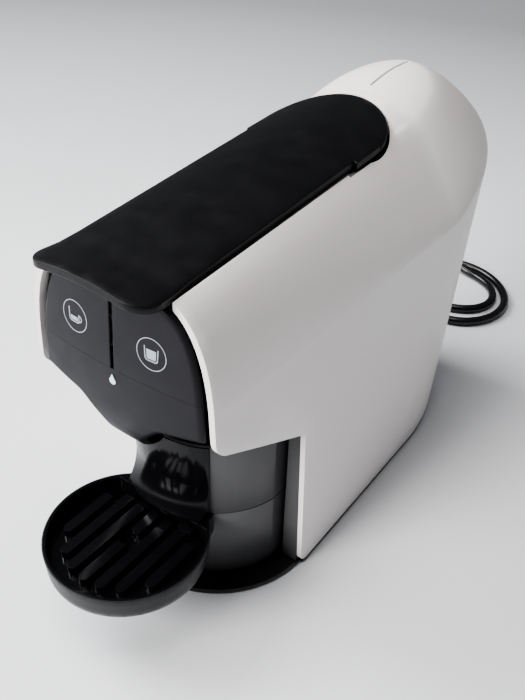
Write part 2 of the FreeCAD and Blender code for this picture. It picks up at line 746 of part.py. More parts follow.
def make_brew_head():
    """Fixed plate with the water inlet that closes the capsule holder."""
    plate = rod(22.0, V(0, back(104), BREW_Z), V(0, back(112), BREW_Z))
    block = box(-16, 16, back(112), back(128), BREW_Z - 14, BREW_Z + 14)
    inlet = rod(3.6, V(0, back(128), BREW_Z), V(0, back(134), BREW_Z))
    return plate.fuse(block).fuse(inlet).cut(rod(1.8, V(0, back(100), BREW_Z), V(0, back(140), BREW_Z)))


def make_brew_frame():
    """Side plates of the brew unit, tied below by two cross bars to the bay's roof."""
    low = BAY_TOP + 2.5
    plate = side_prism([
        (back(80), low, 0),
        (back(138), low, 0),
        (back(146), 205, 6),
        (back(40), 205, 6),
        (back(40), 160, 6),
        (back(80), 135, 0),
    ], 30.5, 33.0)
    plate = plate.cut(box(20, 40, back(88), back(104), 135, 154))
    tie = box(-31, 31, back(113), back(119), low, low + 12)
    tie = tie.fuse(box(-31, 31, back(116), back(124), BREW_Z - 24, BREW_Z - 14))
    return plate.fuse(mirrored(plate)).fuse(tie).removeSplitter()


def make_chute():
    """Funnel from the lid opening down to the capsule holder."""
    outer = box(-23, 23, back(68.5), back(105.5), BREW_Z + 23, 210)
    inner = box(-21.2, 21.2, back(70.3), back(103.7), BREW_Z + 20, 215)
    flange = box(-30.2, 30.2, back(66), back(108), 205.2, 207.2).cut(inner)
    return outer.cut(inner).fuse(flange).removeSplitter()


BLOCK_LOW = 118.0
BLOCK_TOP = 146.0
PORT_R = 3.5
HOSE_BORE = 2.0


def make_thermoblock():
    """Cast heater block on four legs, inlet below and outlet on top."""
    block = box(-30, 30, back(152), back(206), BLOCK_LOW, BLOCK_TOP)
    for x in (-24, 24):
        for distance in (176, 196):
            block = block.fuse(box(x - 3, x + 3, back(distance), back(distance + 8), BAY_TOP + FRAME_WALL, BLOCK_LOW))
    inlet = rod(PORT_R, V(-22, back(160), 108), V(-22, back(160), BLOCK_LOW))
    outlet = rod(PORT_R, V(0, back(160), BLOCK_TOP), V(0, back(160), 152))
    return block.fuse(inlet).fuse(outlet).removeSplitter()


PUMP_X = -26.0
PUMP_Z = 42.0


def make_pump():
    """Vibration pump: square coil yoke around a barrel with a port at each end."""
    coil = box(PUMP_X - 17, PUMP_X + 17, back(168), back(198), PUMP_Z - 18, PUMP_Z + 18)
    barrel = rod(11.0, V(PUMP_X, back(163), PUMP_Z), V(PUMP_X, back(206), PUMP_Z))
    ports = rod(PORT_R, V(PUMP_X, back(158), PUMP_Z), V(PUMP_X, back(212), PUMP_Z))
    return coil.fuse(barrel).fuse(ports).removeSplitter()


def make_pump_mounts():
    low = HOOD_BOTTOM - GAP
    blocks = [box(PUMP_X - 12, PUMP_X + 12, back(d), back(d + 7), low, PUMP_Z - 18) for d in (167, 190)]
    return Part.makeCompound(blocks)


METER_Z = 12.0


def make_flow_meter():
    low = HOOD_BOTTOM - GAP
    body = Part.makeCylinder(13, 18, V(4, back(182), low))
    entry = rod(PORT_R, V(4, back(190), METER_Z), V(4, back(202), METER_Z))
    way_out = rod(PORT_R, V(4, back(174), METER_Z), V(4, back(164), METER_Z))
    return body.fuse(entry).fuse(way_out).removeSplitter()


def make_board():
    return box(46.0, 47.6, back(150), back(222), 34, 104)


def make_board_bracket():
    upright = box(47.6, 49.6, back(150), back(222), HOOD_BOTTOM - GAP, 106)
    foot = box(38.0, 48.0, back(150), back(222), HOOD_BOTTOM - GAP, HOOD_BOTTOM + 1.5)
    return upright.fuse(foot).removeSplitter()


SOCKET_Z = 30.0


def make_tank_socket():
    """Block that the tank's nipple pushes into, with a hose port low on its front."""
    low = HOOD_BOTTOM - GAP
    block = box(-14, 14, back(222), TANK_FRONT - 2.0, low, SOCKET_Z + 12)
    seat = rod(6.06, V(0, back(228), SOCKET_Z), V(0, back(240), SOCKET_Z))
    port = rod(PORT_R, V(4, back(212), METER_Z), V(4, back(223), METER_Z))
    return block.fuse(port).cut(seat).removeSplitter()


HOSES = {
    "supply_hose": [(4, 212, METER_Z), (4, 202, METER_Z)],
    "pump_hose": [(4, 164, METER_Z), (4, 154, METER_Z), (-6, 146.5, METER_Z), (-20, 148, METER_Z),
                  (-44, 156, METER_Z), (-51, 172, 14), (-51, 194, 16), (-48, 212, 24), (-38, 222, 36),
                  (PUMP_X, 221, PUMP_Z), (PUMP_X, 212, PUMP_Z)],
    "pressure_hose": [(PUMP_X, 158, PUMP_Z), (PUMP_X, 147, PUMP_Z), (PUMP_X, 147, 60), (-25, 149, 80),
                      (-22, 160, 96), (-22, 160, 108)],
    "brew_hose": [(0, 160, 152), (0, 160, 162), (0, 151, 169.5), (0, 142, BREW_Z), (0, 134, BREW_Z)],
}


def make_hose(route):
    points = [V(x, back(d), z) for x, d, z in route]
    if len(points) == 2:
        return rod(PORT_R, points[0], points[1]).cut(rod(HOSE_BORE, points[0], points[1]))
    solid, length, radii = tube(points, PORT_R, HOSE_BORE)
    print("hose", round(length), "mm, radii", min(radii))
    return solid


# ---- water tank ----------------------------------------------------------------------
def make_tank(outer, inner_tank):
    body = box(-TANK_HALF, TANK_HALF, TANK_FRONT, 250, TANK_BOTTOM, TANK_TOP - 6)
    tank = outer.common(body)
    hollow_box = box(-TANK_HALF + 2.4, TANK_HALF - 2.4, TANK_FRONT + 2.4, 250, TANK_BOTTOM + 2.4, TANK_TOP)
    tank = tank.cut(inner_tank.common(hollow_box))
    nipple = rod(6.0, V(0, back(229), SOCKET_Z), V(0, TANK_FRONT + 1, SOCKET_Z))
    return tank.fuse(nipple).cut(rod(2.5, V(0, back(226), SOCKET_Z), V(0, TANK_FRONT + 5, SOCKET_Z)))


def make_tank_lid(outer):
    cover = outer.common(box(-TANK_HALF, TANK_HALF, TANK_FRONT, 250, TANK_TOP - 6 + GAP, TANK_TOP))
    recess = box(-22, 22, TANK_FRONT - 1, TANK_FRONT + 14, TANK_TOP - 2.5, TANK_TOP + 5)
    return cover.cut(recess)


# ---- mains cord ----------------------------------------------------------------------
GLAND_X = -53.0
GLAND_Z = 14.0
GLAND_R = 6.4
GLAND_TAPER = 299.0
GLAND_END = 319.0
COIL_X = -112.0
COIL_Y = 405.0
COIL_R = 36.0


def cord_points():
    """Route of the cord from the strain relief to the coil, as (x, distance, z)."""
    z = FLOOR_CORD_Z
    high = z + 8.6
    return [
        (GLAND_X, GLAND_END, GLAND_Z),
        (GLAND_X, GLAND_END + 14, GLAND_Z),
        (GLAND_X + 4, GLAND_END + 31, z + 3.2),
        (-36, 364, z),
        (-17, 371, z),
        (4, 371, z),
        (24, 375, z),
        (39, 388, z),
        (47, 407, z),
        (46, 428, z),
        (36, 447, z),
        (19, 461, z),
        (-2, 468, z),
        (-22, 466, z),
        (-39, 455, z),
        (-48, 438, z),
        (-46, 418, z),
        (-35, 402, z),
        (-19, 393, z),
        (-2, 390, z),
        (14, 393, z),
        (27, 402, z),
        (34, 416, z),
        (33, 431, z),
        (25, 444, z),
        (11, 453, z),
        (-8, 457, z + 0.8),
        (-28, 458, high),
        (-52, 456, high),
        (-72, 450, z + 1.6),
        (-92, COIL_Y + COIL_R + 1.5, z),
        (COIL_X, COIL_Y + COIL_R, z),
    ]


def make_cord():
    points = [V(x, back(d), z) for x, d, z in cord_points()]
    solid, length, radii = tube(points, CORD_R)
    print("cord tube", round(length), "mm, radii", min(radii), radii)
    print("cord volume ratio", round(solid.Volume / (math.pi * CORD_R ** 2 * length), 4))
    return solid


def make_coil():
    """Outer shape of the turns that are put away: two turns high, one wide."""
    half = CORD_R + 0.15
    corners = [(COIL_R - half, 0.1, 3), (COIL_R + half, 0.1, 3), (COIL_R + half, 14.5, 3), (COIL_R - half, 14.5, 3)]
    wire = rounded_wire(corners, lambda p: V(COIL_X + p.x, back(COIL_Y), p.y))
    return Part.Face(wire).revolve(V(COIL_X, back(COIL_Y), 0), UP, 360)


def make_tie():
    centre = V(COIL_X, back(COIL_Y - COIL_R), 7.4)
    outer = box(centre.x - 4, centre.x + 4, centre.y - 5.2, centre.y + 5.2, 0.1, 16.1)
    inner = box(centre.x - 5, centre.x + 5, centre.y - CORD_R - 0.7, centre.y + CORD_R + 0.7, 0.05, 14.6)
    return outer.cut(inner)


PLUG_R = 18.0
PLUG_Z = PLUG_R + 0.1
PLUG_REAR = 334.0


def make_tail():
    """Short run from the coil to the back of the plug."""
    x = COIL_X - COIL_R
    route = [
        (COIL_Y, FLOOR_CORD_Z),
        (391, FLOOR_CORD_Z + 0.2),
        (376, 8.0),
        (361, 15.5),
        (346, PLUG_Z),
        (PLUG_REAR, PLUG_Z),
    ]
    solid, length, radii = tube([V(x, back(d), z) for d, z in route], CORD_R)
    print("cord tail", round(length), "mm, radii", radii)
    return solid


def plug_rod(radius, first, last, across=0.0):
    """Round piece of the plug between two distances in front of its rear face."""
    x = COIL_X - COIL_R + across
    y = back(PLUG_REAR)
    return rod(radius, V(x, y - first, PLUG_Z), V(x, y - last, PLUG_Z))


def make_plug():
    """Round two-pin plug lying on the table in front of the coil."""
    grip = Part.makeCone(8.0, 15.0, 16, V(COIL_X - COIL_R, back(PLUG_REAR), PLUG_Z), V(0, -1, 0))
    return grip.fuse(plug_rod(15.0, 16, 32)).fuse(plug_rod(PLUG_R, 32, 39)).removeSplitter()


def make_plug_pins():
    return Part.makeCompound([plug_rod(2.4, 39, 58, side * 9.5) for side in (-1, 1)])


def make_gland():
    """Strain relief: a collar in the hood and a taper around the cord."""
    collar = rod(GLAND_R, V(GLAND_X, back(266), GLAND_Z), V(GLAND_X, back(GLAND_TAPER), GLAND_Z))
    taper = Part.makeCone(GLAND_R, 4.3, GLAND_END - GLAND_TAPER, V(GLAND_X, back(GLAND_TAPER), GLAND_Z), V(0, 1, 0))
    return collar.fuse(taper).removeSplitter()


# ---- build ---------------------------------------------------------------------------
def main():
    os.makedirs("parts", exist_ok=True)
    outer = hood_form(0)
    inner = hood_form(WALL)
    fit_form = hood_form(WALL + GAP)
    inner_tank = hood_form(2.6)
    save("hood", make_hood(outer, inner))
    save("base_plate", make_base(outer))
    save("feet", make_feet())
    save("base_screws", make_base_screws())
    save("column_frame", make_column_frame(fit_form))
    save("head_floor", make_head_floor(fit_form))
    save("drip_drawer", make_drawer())
    save("cup_tray", make_cup_tray())
    save("drip_grid", make_drip_grid())
    save("capsule_container", make_container())
    save("container_front", make_container_front())
    fascia, left, right, lens = make_panel_parts()
    save("front_fascia", fascia)
    save("key_left", left)
    save("key_right", right)
    save("indicator_lens", lens)
    save("panel_frame", make_panel_frame(panel_band(-1, 5.4)))
    save("spout", make_spout())
    save("switch_board", make_switch_board())
    save("key_switches", make_switches())
    lid = make_lid()
    save("lid", lid)
    save("lid_crank", make_crank().cut(lid))
    save("hinge_pins", make_hinge_pins())
    save("lid_seat", make_seat())
    save("capsule_holder", make_capsule_holder())
    save("brew_head", make_brew_head())
    save("brew_frame", make_brew_frame())
    save("capsule_chute", make_chute())
    save("thermoblock", make_thermoblock())
    save("pump", make_pump())
    save("pump_mounts", make_pump_mounts())
    save("flow_meter", make_flow_meter())
    save("control_board", make_board())
    save("board_bracket", make_board_bracket())
    save("tank_socket", make_tank_socket())
    for name, route in HOSES.items():
        save(name, make_hose(route))
    save("water_tank", make_tank(outer, inner_tank))
    save("tank_lid", make_tank_lid(outer))
    save("cord", make_cord())
    save("cord_coil", make_coil())
    save("cord_tie", make_tie())
    save("cord_tail", make_tail())
    save("plug", make_plug())
    save("plug_pins", make_plug_pins())
    save("cord_gland", make_gland())


main()
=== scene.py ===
import math

import bmesh
import bpy
import numpy as np
from mathutils import Matrix, Vector


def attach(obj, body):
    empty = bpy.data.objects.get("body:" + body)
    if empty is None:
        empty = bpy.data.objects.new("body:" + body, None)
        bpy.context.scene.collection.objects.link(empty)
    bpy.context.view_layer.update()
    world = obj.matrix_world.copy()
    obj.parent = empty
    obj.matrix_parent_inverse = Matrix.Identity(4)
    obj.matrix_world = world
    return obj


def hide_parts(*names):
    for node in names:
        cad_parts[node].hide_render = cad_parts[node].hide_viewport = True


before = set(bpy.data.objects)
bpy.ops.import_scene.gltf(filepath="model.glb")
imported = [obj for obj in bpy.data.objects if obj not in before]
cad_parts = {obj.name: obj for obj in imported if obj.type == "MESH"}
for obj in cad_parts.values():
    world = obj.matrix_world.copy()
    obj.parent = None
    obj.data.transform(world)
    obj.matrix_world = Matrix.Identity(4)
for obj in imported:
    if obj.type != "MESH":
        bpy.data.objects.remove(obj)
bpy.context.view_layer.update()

MM = 0.001
FULL_DEPTH = 375.8                    # front of the cup tray to the back of the hood, mm
TRAY_RADIUS = 46.0
TRAY_Y = TRAY_RADIUS - FULL_DEPTH / 2         # axis of the cup tray in the row frame, mm
MERGE = 1e-6                          # points closer than this are one point, m


def back(distance):
    """Row Y (mm) of a point this far behind the axis of the cup tray."""
    return TRAY_Y + distance


def m(x, distance, z):
    """Row point in metres from X, distance behind the tray axis and Z in mm."""
    return Vector((x * MM, back(distance) * MM, z * MM))


def add_object(name, data):
    """Object of the scene that shows this mesh, curve, camera or light."""
    made = bpy.data.objects.new(name, data)
    bpy.context.scene.collection.objects.link(made)
    return made


def smooth(mesh):
    for polygon in mesh.polygons:
        polygon.use_smooth = True


# ---- camera --------------------------------------------------------------------------
CAMERA_DOWN, CAMERA_SIDE, CAMERA_ROLL = 0.640, 0.618, -0.035         # radians
CAMERA_PLACE = (239.0, -213.7, 415.8)                                # mm, as for m()
SENSOR_HEIGHT = 36.0                                                 # mm
FOCAL_RATIO = 848.5 / 700             # focal length over the height of the picture


def add_camera():
    """Looks down at the machine from its front right."""
    flat = Vector((-math.sin(CAMERA_SIDE), math.cos(CAMERA_SIDE), 0))
    ahead = flat * math.cos(CAMERA_DOWN) - Vector((0, 0, math.sin(CAMERA_DOWN)))
    right = Vector((math.cos(CAMERA_SIDE), math.sin(CAMERA_SIDE), 0))
    below = ahead.cross(right)
    x_axis = right * math.cos(CAMERA_ROLL) + below * math.sin(CAMERA_ROLL)
    y_axis = -(below * math.cos(CAMERA_ROLL) - right * math.sin(CAMERA_ROLL))
    data = bpy.data.cameras.new("camera")
    data.sensor_fit = "VERTICAL"
    data.sensor_height = SENSOR_HEIGHT
    data.lens = SENSOR_HEIGHT * FOCAL_RATIO
    camera = add_object("camera", data)
    turn = Matrix((x_axis, y_axis, -ahead)).transposed()
    camera.matrix_world = Matrix.Translation(m(*CAMERA_PLACE)) @ turn.to_4x4()
    bpy.context.scene.camera = camera


add_camera()

# ---- materials -----------------------------------------------------------------------
NOISE_WINDOW = 0.2                    # a noise's factor is used this far either side of 0.5
TONE_DETAIL, GLOSS_DETAIL, GRAIN_DETAIL = 3.0, 5.0, 2.0
GRAIN_DEPTH = 0.0004                  # height of the moulded grain, m
GLOSS_PATCHES = 4                     # patches of uneven gloss in one patch of uneven tone
MIX_SHARE, MIX_COLOR_A, MIX_COLOR_B, MIX_COLOR = 0, 6, 7, 2          # Mix sockets, colour
MIX_VALUE_A, MIX_VALUE_B, MIX_VALUE = 2, 3, 0                        # Mix sockets, number


def add_noise(nodes, links, coordinates, scale, detail):
    noise = nodes.new("ShaderNodeTexNoise")
    noise.inputs["Scale"].default_value = scale
    noise.inputs["Detail"].default_value = detail
    links.new(coordinates.outputs["Object"], noise.inputs["Vector"])
    return noise


def spread(nodes, links, noise, low, high):
    """Map Range of a noise's factor onto low to high."""
    ramp = nodes.new("ShaderNodeMapRange")
    ramp.inputs["From Min"].default_value = 0.5 - NOISE_WINDOW
    ramp.inputs["From Max"].default_value = 0.5 + NOISE_WINDOW
    ramp.inputs["To Min"].default_value = low
    ramp.inputs["To Max"].default_value = high
    links.new(noise.outputs["Fac"], ramp.inputs["Value"])
    return ramp


def moulded(name, color, color_2, rough, rough_2, grain=900.0, bump=0.02, specular=0.5,
            metallic=0.0, patch=18.0, transmission=0.0):
    """Moulded or finished surface: patchy tone, uneven gloss and a fine grain."""
    material = bpy.data.materials.new(name)
    material.use_nodes = True
    nodes, links = material.node_tree.nodes, material.node_tree.links
    shader = nodes["Principled BSDF"]
    coordinates = nodes.new("ShaderNodeTexCoord")
    broad = add_noise(nodes, links, coordinates, patch, TONE_DETAIL)
    mix = nodes.new("ShaderNodeMix")
    mix.data_type = "RGBA"
    mix.inputs[MIX_COLOR_A].default_value = (*color, 1)
    mix.inputs[MIX_COLOR_B].default_value = (*color_2, 1)
    share = spread(nodes, links, broad, 0.0, 1.0)
    links.new(share.outputs["Result"], mix.inputs[MIX_SHARE])
    links.new(mix.outputs[MIX_COLOR], shader.inputs["Base Color"])
    fine = add_noise(nodes, links, coordinates, patch * GLOSS_PATCHES, GLOSS_DETAIL)
    gloss = spread(nodes, links, fine, rough, rough_2)
    links.new(gloss.outputs["Result"], shader.inputs["Roughness"])
    grain_noise = add_noise(nodes, links, coordinates, grain, GRAIN_DETAIL)
    relief = nodes.new("ShaderNodeBump")
    relief.inputs["Strength"].default_value = bump
    relief.inputs["Distance"].default_value = GRAIN_DEPTH
    links.new(grain_noise.outputs["Fac"], relief.inputs["Height"])
    links.new(relief.outputs["Normal"], shader.inputs["Normal"])
    shader.inputs["Specular IOR Level"].default_value = specular
    shader.inputs["Metallic"].default_value = metallic
    shader.inputs["Transmission Weight"].default_value = transmission
    return material


# Every call gives two tones and two degrees of gloss, which the patches run between.
WHITE = moulded("hood_white", (0.84, 0.795, 0.765), (0.86, 0.82, 0.79), 0.28, 0.38,
                grain=2600, bump=0.05)
LID = moulded("lid_black", (0.0030, 0.0030, 0.0038), (0.0042, 0.0042, 0.0050), 0.34, 0.46,
              grain=3200, bump=0.10, specular=0.22)
PANEL = moulded("panel_charcoal", (0.0068, 0.0066, 0.0092), (0.0084, 0.0082, 0.0112), 0.40, 0.50,
                grain=3600, bump=0.16, specular=0.22)
GLOSS = moulded("trim_black_gloss", (0.003, 0.003, 0.004), (0.0042, 0.0042, 0.0055), 0.06, 0.12,
                grain=500, bump=0.015, specular=0.35)
PLATE = moulded("plate_black_gloss", (0.003, 0.003, 0.004), (0.0042, 0.0042, 0.0055), 0.10, 0.16,
                grain=500, bump=0.02, specular=0.22)
SATIN = moulded("body_satin", (0.058, 0.058, 0.061), (0.068, 0.068, 0.071), 0.34, 0.44,
                grain=3000, bump=0.12)
BLACK = moulded("body_black", (0.0060, 0.0060, 0.0066), (0.0085, 0.0085, 0.0092), 0.36, 0.48,
                grain=2600, bump=0.12, specular=0.35)
SEAT = moulded("seat_grey", (0.20, 0.20, 0.205), (0.25, 0.25, 0.255), 0.30, 0.40,
               grain=2500, bump=0.08)
INNER = moulded("inner_grey", (0.07, 0.07, 0.075), (0.09, 0.09, 0.095), 0.45, 0.60,
                grain=1800, bump=0.15)
SMOKE = moulded("tank_smoke", (0.05, 0.055, 0.06), (0.07, 0.075, 0.08), 0.08, 0.15,
                grain=700, bump=0.02, transmission=0.55)
LENS = moulded("lens_white", (0.62, 0.72, 0.76), (0.70, 0.80, 0.84), 0.20, 0.30,
               grain=1500, bump=0.03)
RUBBER = moulded("feet_rubber", (0.015, 0.015, 0.015), (0.025, 0.025, 0.024), 0.62, 0.80,
                 grain=1400, bump=0.3)
HOSE = moulded("hose_silicone", (0.60, 0.60, 0.57), (0.68, 0.68, 0.65), 0.35, 0.5,
               grain=1200, bump=0.06)
CORD = moulded("cord_black", (0.004, 0.004, 0.0045), (0.007, 0.007, 0.0078), 0.20, 0.32,
               grain=1500, bump=0.10)
STEEL = moulded("steel", (0.50, 0.50, 0.51), (0.56, 0.56, 0.57), 0.28, 0.42,
                grain=2200, bump=0.10, metallic=1.0)
PIN = moulded("plug_metal", (0.66, 0.64, 0.58), (0.72, 0.70, 0.64), 0.16, 0.28,
              grain=1800, bump=0.05, metallic=1.0)
CAST = moulded("heater_aluminium", (0.50, 0.50, 0.51), (0.58, 0.58, 0.59), 0.45, 0.65,
               grain=1300, bump=0.4, metallic=1.0)
BOARD = moulded("board_green", (0.012, 0.085, 0.035), (0.020, 0.11, 0.045), 0.30, 0.42,
                grain=1500, bump=0.08)
PRINT = moulded("icon_print", (0.34, 0.37, 0.41), (0.38, 0.41, 0.45), 0.45, 0.55,
                grain=2000, bump=0.05)


def change_with_reach(material, centre, start, end, color, rough):
    """Turns a material into another tone and gloss between two distances from an upright axis."""
    nodes, links = material.node_tree.nodes, material.node_tree.links
    shader = nodes["Principled BSDF"]
    coordinates = nodes.new("ShaderNodeTexCoord")
    flat = nodes.new("ShaderNodeVectorMath")
    flat.operation = "MULTIPLY"
    flat.inputs[1].default_value = (1.0, 1.0, 0.0)
    links.new(coordinates.outputs["Object"], flat.inputs[0])
    reach = nodes.new("ShaderNodeVectorMath")
    reach.operation = "DISTANCE"
    reach.inputs[1].default_value = centre
    links.new(flat.outputs["Vector"], reach.inputs[0])
    share = nodes.new("ShaderNodeMapRange")
    share.inputs["From Min"].default_value = start
    share.inputs["From Max"].default_value = end
    links.new(reach.outputs["Value"], share.inputs["Value"])
    tone = nodes.new("ShaderNodeMix")
    tone.data_type = "RGBA"
    links.new(share.outputs["Result"], tone.inputs[MIX_SHARE])
    links.new(shader.inputs["Base Color"].links[0].from_socket, tone.inputs[MIX_COLOR_A])
    tone.inputs[MIX_COLOR_B].default_value = (*color, 1)
    links.new(tone.outputs[MIX_COLOR], shader.inputs["Base Color"])
    gloss = nodes.new("ShaderNodeMix")
    links.new(share.outputs["Result"], gloss.inputs[MIX_SHARE])
    links.new(shader.inputs["Roughness"].links[0].from_socket, gloss.inputs[MIX_VALUE_A])
    gloss.inputs[MIX_VALUE_B].default_value = rough
    links.new(gloss.outputs[MIX_VALUE], shader.inputs["Roughness"])
    return material


BOWL_WALL = 45.15                     # beyond this radius the bowl's outer wall is satin, mm
WALL_BLEND = 0.1
WALL_COLOR, WALL_ROUGH = (0.0085, 0.0085, 0.0105), 0.42
BOWL = change_with_reach(
    moulded("tray_black", (0.003, 0.003, 0.004), (0.0042, 0.0042, 0.0055), 0.06, 0.12,
            grain=1500, bump=0.03, specular=0.30),
    (0.0, TRAY_Y * MM, 0.0), (BOWL_WALL - WALL_BLEND) * MM, BOWL_WALL * MM,
    WALL_COLOR, WALL_ROUGH)

NODE_MATERIALS = {
    "hood": WHITE, "base_plate": BLACK, "feet": RUBBER, "base_screws": STEEL,
    "column_frame": SATIN, "head_floor": BLACK, "drip_drawer": SATIN, "cup_tray": BOWL,
    "drip_grid": GLOSS, "capsule_container": SATIN, "container_front": PLATE,
    "front_fascia": PANEL, "key_left": PANEL, "key_right": PANEL, "indicator_lens": LENS,
    "panel_frame": GLOSS, "spout": GLOSS, "switch_board": BOARD, "key_switches": INNER,
    "lid": LID, "lid_crank": STEEL, "hinge_pins": STEEL, "lid_seat": SEAT,
    "capsule_holder": INNER, "brew_head": INNER, "brew_frame": INNER, "capsule_chute": GLOSS,
    "thermoblock": CAST, "pump": STEEL, "pump_mounts": RUBBER, "flow_meter": INNER,
    "control_board": BOARD, "board_bracket": INNER, "tank_socket": INNER,
    "supply_hose": HOSE, "pump_hose": HOSE, "pressure_hose": HOSE, "brew_hose": HOSE,
    "water_tank": SMOKE, "tank_lid": BLACK, "cord_tie": CORD, "plug": CORD, "plug_pins": PIN,
    "cord_gland": CORD, "cord": CORD, "cord_coil": CORD, "cord_tail": CORD,
}


def dress_nodes():
    for name, material in NODE_MATERIALS.items():
        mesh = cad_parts[name].data
        mesh.materials.clear()
        mesh.materials.append(material)


dress_nodes()

# ---- front panel ---------------------------------------------------------------------
# All lengths of the panel are in mm.
SEAM_Z = 168.5                        # lower end of the keys
KEY_GAP = 0.12                        # room above the fascia for a pressed key
SEAM_CLEAR = 0.3                      # no row of points lies closer than this to the seam
LEVEL_GAP = 0.02                      # rows of points are further apart than this
GROOVE_HALF = 0.95                    # half the width of the groove between the keys
CROWN_R = 378.0                       # plan radius of the panel's face
EDGE_ROLL = 2.7                       # rounding of the panel's outer edge
KEY_ROLL = 0.5                        # rounding of a key's edge at the groove
ROLL_POINTS, ROLL_STEP = 7, 0.1       # columns of points on that rounding, and their distance
FASCIA_THICK, KEY_THICK = 2.2, 0.9
RIM_ANGLE = 50                        # degrees; sharper edges of a skin stay sharp
PANEL_TOP = 216.8
PANEL_INSET = 6.9                     # outline of the hood's section to the panel's edge
ACROSS, CROWDING = 34, 1.9            # columns of points on a half, and how they crowd outwards
LINE_STEP, ARC_STEP = 1.3, 1.2        # distance of the points on the outline
MIN_ARC_STEPS = 3                     # steps on its smallest arcs
NOSE_END_X = 53.0                     # the nose's line meets the wall's line before this X
JOIN_GAP = 0.4                        # lowest rise from the nose's line to the wall's line
# Side profile of the face: height, and distance behind the tray axis.
FACE_KNOTS = [(217.0, 4.2), (190.0, 2.33), (168.0, 0.9), (150.0, 0.75), (141.0, 1.15),
              (133.0, 2.3), (127.0, 4.1), (122.5, 6.6), (119.0, 9.6), (116.0, 13.2),
              (113.4, 17.8), (110.8, 24.0)]
# Lower outline, from the bottom of the nose to the wall: x, z and corner radius.
NOSE_CORNERS = [(0.0, 110.0, 0), (8.5, 110.0, 7.5), (14.0, 128.0, 10), (26.0, 140.4, 12),
                (70.0, 150.5, 0)]
# Front section of the hood: top of the crown, end of its arc, top of the wall and its foot.
CROWN_Z = 224.5
ARC_X, ARC_Z = 32.0, 219.8
WALL_X, WALL_Z, FOOT_X = 58.3, 165.0, 67.0
INSET_SHARE = 0.4                     # the ends of arc and wall move this much of the inset
SHOULDER_PULL = 0.65                  # 1 would be a sharp corner, 0 a straight bevel
CROWN_STEPS, SHOULDER_STEPS, WALL_STEPS = 8, 40, 60


def along(knots, x):
    """Smooth value through (x, value) knots sorted by falling x."""
    if x >= knots[0][0]:
        return knots[0][1]
    if x <= knots[-1][0]:
        return knots[-1][1]
    i = next(n for n in range(len(knots) - 1) if knots[n + 1][0] <= x)
    (x0, y0), (x1, y1) = knots[i], knots[i + 1]
    before = knots[max(i - 1, 0)]
    after = knots[min(i + 2, len(knots) - 1)]
    span = x1 - x0
    slope0 = (y1 - before[1]) / (x1 - before[0])
    slope1 = (after[1] - y0) / (after[0] - x0)
    t = (x - x0) / span
    hold = 2 * t ** 3 - 3 * t ** 2
    return ((hold + 1) * y0 + (t ** 3 - 2 * t ** 2 + t) * span * slope0
            - hold * y1 + (t ** 3 - t ** 2) * span * slope1)


def face_depth(x, z):
    """Distance behind the tray axis of the panel's face."""
    depth = along(FACE_KNOTS, z)
    reach = CROWN_R - depth
    return depth + reach - math.sqrt(reach ** 2 - x ** 2)


def hood_half(inset):
    """Crown arc, shoulder curve and wall of the hood's front section, moved in, from the top."""
    crown, arc_x, arc_z = CROWN_Z - inset, ARC_X - INSET_SHARE * inset, ARC_Z - inset
    wall_x, wall_z, foot_x = WALL_X - inset, WALL_Z - INSET_SHARE * inset, FOOT_X - inset
    radius = (arc_x ** 2 + (crown - arc_z) ** 2) / (2 * (crown - arc_z))
    half_turn = math.asin(arc_x / radius)
    slope = math.tan(half_turn)
    lean = (foot_x - wall_x) / wall_z
    corner_x = (wall_x + lean * (wall_z - arc_z - slope * arc_x)) / (1 - lean * slope)
    corner_z = arc_z - slope * (corner_x - arc_x)
    arc_end, wall_top = Vector((arc_x, arc_z)), Vector((wall_x, wall_z))
    corner = Vector((corner_x, corner_z))
    poles = [arc_end, arc_end.lerp(corner, SHOULDER_PULL), wall_top.lerp(corner, SHOULDER_PULL),
             wall_top]
    points = []
    for i in range(CROWN_STEPS):
        turn = half_turn * i / CROWN_STEPS
        points.append(Vector((radius * math.sin(turn), crown - radius * (1 - math.cos(turn)))))
    for i in range(SHOULDER_STEPS + 1):
        t = i / SHOULDER_STEPS
        points.append(poles[0] * (1 - t) ** 3 + poles[1] * 3 * t * (1 - t) ** 2
                      + poles[2] * 3 * t * t * (1 - t) + poles[3] * t ** 3)
    for drop in range(1, WALL_STEPS):
        points.append(Vector((wall_x + lean * drop, wall_z - drop)))
    return points


def rounded_line(corners):
    """Open line through (x, z, radius) corners with arcs, as closely spaced points."""
    out = [Vector(corners[0][:2])]
    for i in range(1, len(corners) - 1):
        here = Vector(corners[i][:2])
        radius = corners[i][2]
        towards = (Vector(corners[i - 1][:2]) - here).normalized()
        away = (Vector(corners[i + 1][:2]) - here).normalized()
        half = towards.angle(away) / 2
        middle = here + (towards + away).normalized() * (radius / math.sin(half))
        first = here + towards * (radius / math.tan(half)) - middle
        last = here + away * (radius / math.tan(half)) - middle
        sweep = first.angle_signed(last)
        count = max(MIN_ARC_STEPS, int(abs(sweep) * radius / ARC_STEP))
        for k in range(count + 1):
            turned = first.copy()
            turned.rotate(Matrix.Rotation(-sweep * k / count, 2))
            out.append(middle + turned)
    out.append(Vector(corners[-1][:2]))
    dense = [out[0]]
    for a, b in zip(out, out[1:]):
        count = max(1, int((b - a).length / LINE_STEP))
        dense += [a.lerp(b, (k + 1) / count) for k in range(count)]
    return dense


def panel_edge():
    """Right half of the panel's outline from the bottom of the nose to the top, as (x, z)."""
    nose = [p for p in rounded_line(NOSE_CORNERS) if p.x < NOSE_END_X]
    wall = [p for p in hood_half(PANEL_INSET) if p.y <= PANEL_TOP][::-1]
    return nose + [p for p in wall if p.y > nose[-1].y + JOIN_GAP]


EDGE = panel_edge()
EDGE_ARRAY = np.array([(p.x, p.y) for p in EDGE])


